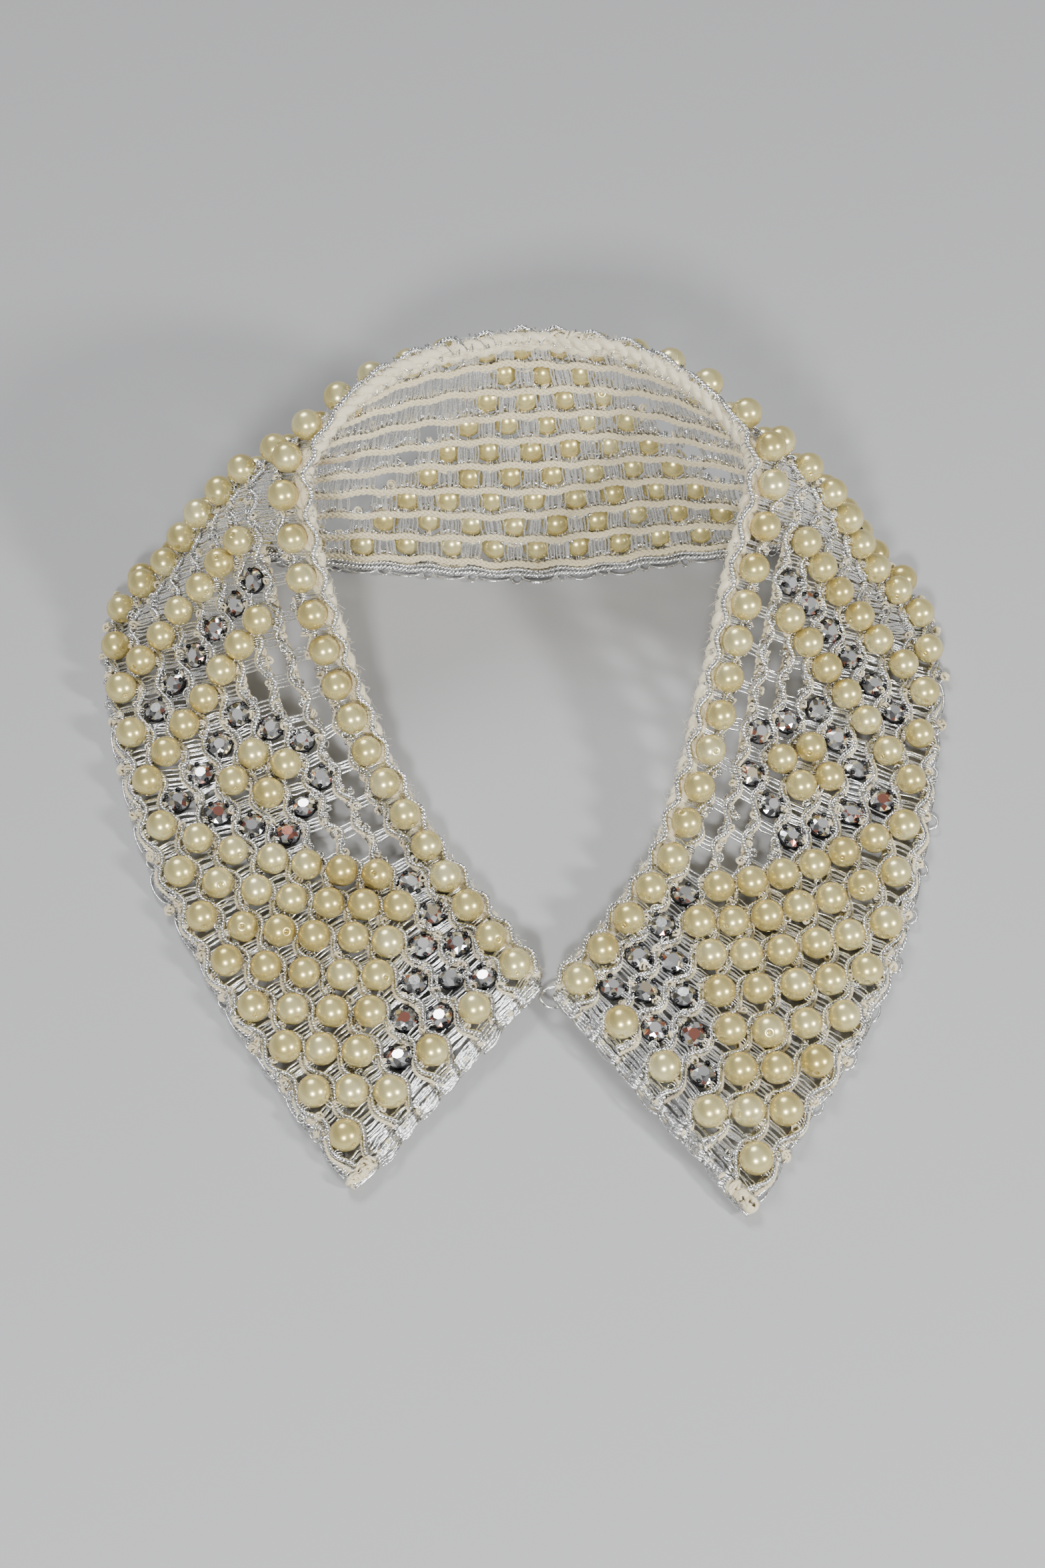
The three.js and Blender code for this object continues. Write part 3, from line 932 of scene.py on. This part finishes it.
def make_neckline():
    """The thick yarn with its fibres and tufts, and the silver rim laced over it."""
    for side in SIDES:
        first, last = side_span(side)
        yarn = Build()
        path, up, columns = chain_path(first, last, YARN_ROW, YARN_HEIGHT, 0.5 * MM, 0.03, 0, 2.0)
        pinch = np.exp(-((columns - PINCH_COLUMN) / 0.9) ** 2)[:, None]
        path = path - up * pinch * PINCH_DEPTH
        plaited(yarn, path, up, **YARN_PLAIT)
        piece = yarn.make(f"neckline_yarn_{side}", YARN)
        finish_piece(piece, side, "yarn", *both("neckline_yarn", side))
        finish_piece(yarn_fuzz(path, up).make(f"yarn_fuzz_{side}", YARN), side, "yarn")
        rim = Build()
        path, up, _ = chain_path(first, last, RIM_ROW, RIM_HEIGHT, 0.3 * MM, -0.14, 0, 6.0)
        twisted(rim, path, up, **RIM_CORD)
        yarn_wraps(rim, first, last)
        tufts = Build()
        yarn_tufts(tufts, first, last)
        if side == "right":
            pinch_tangle(tufts)
        finish_piece(tufts.make(f"yarn_tufts_{side}", YARN), side, "yarn")
        piece = rim.make(f"silver_rim_{side}", SILVER)
        finish_piece(piece, side, "silver_thread", *both("silver_rim", side))


def yarn_fuzz(path, up, hairs=2600):
    """Short loose fibres that stand off the yarn."""
    build = Build()
    along = unit(np.gradient(path, axis=0))
    across = unit(np.cross(along, up))
    pick = dice.integers(1, len(path) - 1, hairs)
    angle = dice.random(hairs) * 2 * math.pi
    out = np.cos(angle)[:, None] * across[pick] + np.sin(angle)[:, None] * up[pick]
    lean = along[pick] * dice.normal(0, 0.9, hairs)[:, None] + dice.normal(0, 0.35, (hairs, 3))
    root = path[pick] + out * YARN_SURFACE_RADIUS
    t = np.linspace(0, 1, 4)[None, :, None]
    reach = ((0.5 + 1.0 * dice.random(hairs)) * MM)[:, None, None]
    strands = root[:, None] + (out[:, None] * t * 0.8 + lean[:, None] * t**2) * reach
    strands[..., 2] = np.maximum(strands[..., 2], FLOOR_CLEARANCE)
    helper = unit(np.cross(out, lean) + 1e-9)
    sweep(build, strands, helper[:, None], HAIR_RADIUS, 3)
    return build


def yarn_tufts(build, first, last):
    """Soft short stitches of the yarn that climb over the rim."""
    columns = np.arange(first, last, 0.24)
    columns = columns + dice.normal(0, 0.08, len(columns))
    t = np.linspace(0, 1, 8)
    lean = dice.normal(0, 0.12, len(columns))[:, None]
    centre = columns[:, None] + lean * t
    rows = YARN_ROW + (RIM_ROW - YARN_ROW) * t + 0.02 * np.sin(math.pi * t)
    rows = np.broadcast_to(rows, centre.shape)
    heights = YARN_HEIGHT - 0.2 * MM + (RIM_HEIGHT - YARN_HEIGHT) * t**2
    path = raised(centre, rows, np.broadcast_to(heights, centre.shape))
    width = (0.30 + 0.26 * np.sin(math.pi * t)) * MM
    sweep(build, path, surface_normal(centre, rows), width[None], 6)


def pinch_tangle(build):
    """Loose loops of yarn where the neckline is drawn together at the back."""
    for column in np.arange(PINCH_COLUMN - 1.4, PINCH_COLUMN + 1.5, 0.35):
        place = raised(column, (YARN_ROW + RIM_ROW) / 2, PINCH_KNOT_HEIGHT)
        tangle(build, place, **PINCH_KNOT)


def yarn_wraps(build, first, last):
    """Silver thread that zigzags from the rim down into the yarn."""
    columns = np.arange(math.ceil(first * 2) / 2, last, 0.42)
    count = len(columns)
    columns = columns + dice.normal(0, 0.09, count)
    slant = 0.30 * (-1.0) ** np.arange(count) + dice.normal(0, 0.14, count)
    t = np.linspace(0, 1, 9)
    centre = columns[:, None] + slant[:, None] * (t - 0.5)
    rows = RIM_ROW - 0.08 + 0.25 * t + dice.normal(0, 0.02, count)[:, None]
    drop = 4.1 * np.sqrt(t) + dice.normal(0, 0.12, count)[:, None]
    path = raised(centre, rows, -1.2 * MM - drop * MM)
    sweep(build, path, surface_normal(centre, rows), LACING_RADIUS, 5)


def make_ends():
    """The finished ends of the wings: a cord, wrapped bundles and a tip of knots."""
    for side in SIDES:
        end = END_COLUMN if side == "left" else LAST_COLUMN - END_COLUMN
        inward = 1 if side == "left" else -1
        rows = np.linspace(-0.35, LAST_ROW + 0.3, 190)
        columns = end + 0.05 * np.sin(rows * 5)
        path = raised(columns, rows, np.full(rows.shape, END_CORD_HEIGHT))
        up = surface_normal(columns, rows)
        cord = Build()
        twisted(cord, path, up, **END_CORD)
        for row in range(LAST_ROW + 1):
            weft_threads(cord, end + inward * 0.15, row, **END_BUNDLE)
            weft_threads(cord, end + inward * 0.05, row, **LOW_END_BUNDLE)
        piece = cord.make(f"end_cord_{side}", SILVER)
        finish_piece(piece, side, "silver_thread", f"end_cord_{side}")
        knot = tip_tangle(end)
        finish_piece(knot.make(f"tip_knot_{side}", CREAM), side, "yarn", f"tip_knot_{side}")


def tip_tangle(end):
    """The knotted tip of a wing and the small knots along its end."""
    build = Build()
    for row in (LAST_ROW - 0.2, LAST_ROW + 0.15, LAST_ROW + 0.5):
        place = surface_point(end, row)
        place[2] = TIP_KNOT_LIFT
        tangle(build, place, **TIP_KNOT)
    for row in np.arange(-0.1, LAST_ROW, 0.62):
        place = raised(end, row + dice.normal(0, 0.08), END_KNOT_HEIGHT)
        tangle(build, place, **END_KNOT)
    return build


def make_corner_loop():
    """A small wire ring at the right wing's inner corner."""
    low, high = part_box("corner_loop")
    centre = (np.array(low) + np.array(high)) / 2
    t = np.linspace(0, 2 * math.pi, 41)
    circle = np.stack([np.cos(t), np.sin(t), 0.12 * np.sin(2 * t)], axis=1)
    build = Build()
    sweep(build, centre + circle * LOOP_RADIUS, UPWARD, LOOP_WIRE_RADIUS, 8)
    piece = build.make("corner_loop_wire", SILVER)
    finish_piece(piece, "right", "silver_thread", "corner_loop")


# ------------------------------------------------------ floor, light, camera

CAMERA_TARGET = Vector((0.0001, 0.00905, 0.0))
CAMERA_ELEVATION = math.radians(52)
CAMERA_DISTANCE = 0.5188
CAMERA_LENS = 59.7
SENSOR_WIDTH = 36
FLOOR_HALF_SIZE = 15.0
FLOOR_COLOUR = (0.46, 0.46, 0.465)
WORLD_STRENGTH = 0.38
WINDOW_DIRECTION = (-0.35, 0.75, 0.95)
WINDOW_STRENGTH = 1.9
WINDOW_WIDTH = math.radians(24)
WINDOW_COLOUR = (0.96, 0.98, 1.0)
LAMP_COLOUR = (0.98, 0.99, 1.0)


def make_camera():
    data = bpy.data.cameras.new("camera")
    data.lens = CAMERA_LENS
    data.sensor_width = SENSOR_WIDTH
    camera = bpy.data.objects.new("camera", data)
    bpy.context.scene.collection.objects.link(camera)
    flat = math.cos(CAMERA_ELEVATION)
    back = Vector((0, -flat, math.sin(CAMERA_ELEVATION)))
    camera.location = CAMERA_TARGET + back * CAMERA_DISTANCE
    camera.rotation_euler = (-back).to_track_quat("-Z", "Y").to_euler()
    bpy.context.scene.camera = camera


def make_floor():
    size = FLOOR_HALF_SIZE
    mesh = bpy.data.meshes.new("floor")
    corners = [(-size, -size, 0), (size, -size, 0), (size, size, 0), (-size, size, 0)]
    mesh.from_pydata(corners, [], [(0, 1, 2, 3)])
    floor = bpy.data.objects.new("floor", mesh)
    bpy.context.scene.collection.objects.link(floor)
    material, _ = new_material("floor_paper", FLOOR_COLOUR, 0.0, 0.85)
    mesh.materials.append(material)


def area_light(name, place, size, power, colour):
    data = bpy.data.lights.new(name, "AREA")
    data.shape = "RECTANGLE"
    data.size, data.size_y = size
    data.energy = power
    data.color = colour
    light = bpy.data.objects.new(name, data)
    light.location = place
    light.rotation_euler = (Vector((0, 0, 0)) - Vector(place)).to_track_quat("-Z", "Y").to_euler()
    bpy.context.scene.collection.objects.link(light)


def window_light():
    """A wide soft light that is equally strong over the whole floor."""
    data = bpy.data.lights.new("window", "SUN")
    data.energy = WINDOW_STRENGTH
    data.angle = WINDOW_WIDTH
    data.color = WINDOW_COLOUR
    light = bpy.data.objects.new("window", data)
    light.rotation_euler = (-Vector(WINDOW_DIRECTION)).to_track_quat("-Z", "Y").to_euler()
    bpy.context.scene.collection.objects.link(light)


# The studio's brightness by height: a pale wall, a dark band and a bright ceiling.
SKY = ((0.0, 0.85), (0.36, 0.75), (0.50, 0.05), (0.90, 1.0))


def make_light():
    """An even studio sky, one window and two small lamps."""
    world = bpy.data.worlds.new("studio")
    world.use_nodes = True
    backdrop = world.node_tree.nodes["Background"]
    backdrop.inputs["Strength"].default_value = WORLD_STRENGTH
    place = world.node_tree.nodes.new("ShaderNodeTexCoord")
    split = world.node_tree.nodes.new("ShaderNodeSeparateXYZ")
    shades = world.node_tree.nodes.new("ShaderNodeValToRGB")
    while len(shades.color_ramp.elements) < len(SKY):
        shades.color_ramp.elements.new(0.5)
    for element, (position, grey) in zip(shades.color_ramp.elements, SKY):
        element.position = position
        element.color = (grey, grey, grey, 1)
    world.node_tree.links.new(place.outputs["Generated"], split.inputs["Vector"])
    world.node_tree.links.new(split.outputs["Z"], shades.inputs["Fac"])
    world.node_tree.links.new(shades.outputs["Color"], backdrop.inputs["Color"])
    bpy.context.scene.world = world
    window_light()
    area_light("right lamp", (0.75, -0.45, 0.5), (0.12, 0.12), 8, LAMP_COLOUR)
    area_light("front lamp", (-0.1, -0.8, 0.6), (0.13, 0.11), 9, LAMP_COLOUR)


# ------------------------------------------------------------------ assembly

make_camera()
make_floor()
make_light()
make_pearls()
make_stones()
make_weft()
make_chains()
make_outer_edge()
make_neckline()
make_ends()
make_corner_loop()
